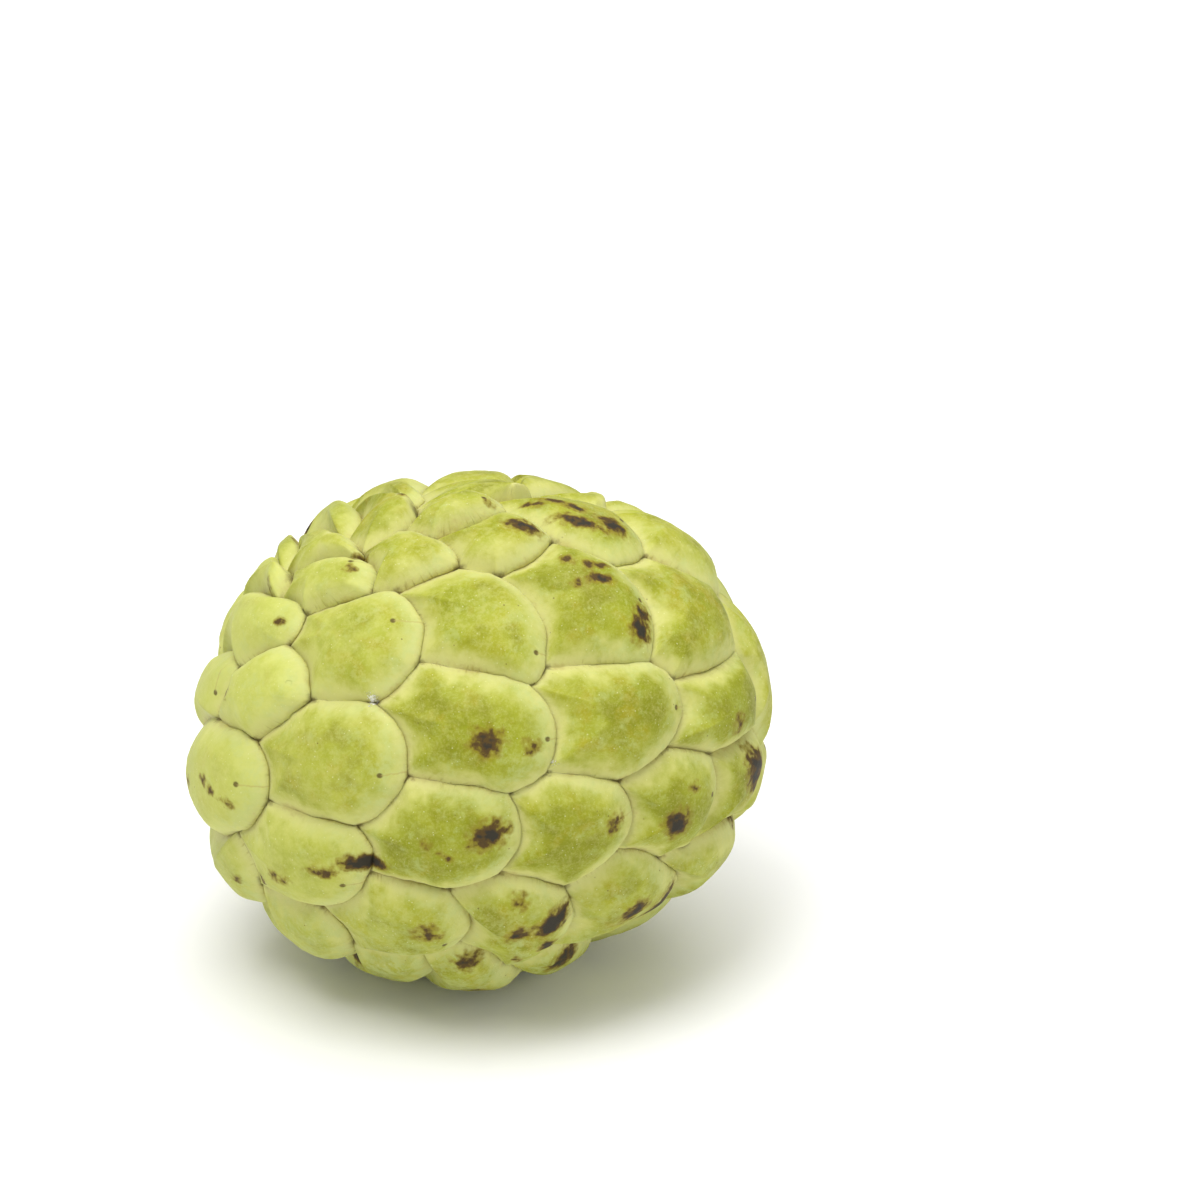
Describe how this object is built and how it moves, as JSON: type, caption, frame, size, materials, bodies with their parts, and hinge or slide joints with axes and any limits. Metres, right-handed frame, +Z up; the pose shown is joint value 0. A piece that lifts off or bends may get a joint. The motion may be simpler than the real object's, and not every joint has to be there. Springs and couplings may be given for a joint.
{
  "type": "custard apple",
  "caption": "Whole ripe custard apple, an egg-shaped fruit covered in soft overlapping scales, lying on its side with a short cut stalk.",
  "frame": {"origin": "centre of the bounding box in X and Y, at the ground plane on which the fruit rests", "axes": "+X towards the far (blossom) end along the fruit's length, the stalk is at the -X end; -Y is the side that shows in the main view; +Z up"},
  "size_m": [0.0842, 0.0746, 0.0742],
  "materials": {
    "rind": "soft matt waxy rind, pale yellow-green with olive cushions, cream seams and dark brown bruises",
    "stalk": "dry woody grey-brown stalk, rough, cut straight"
  },
  "bodies": {
    "root": {"fruit": "rind", "stalk_stub": "stalk"}
  },
  "joints": []
}
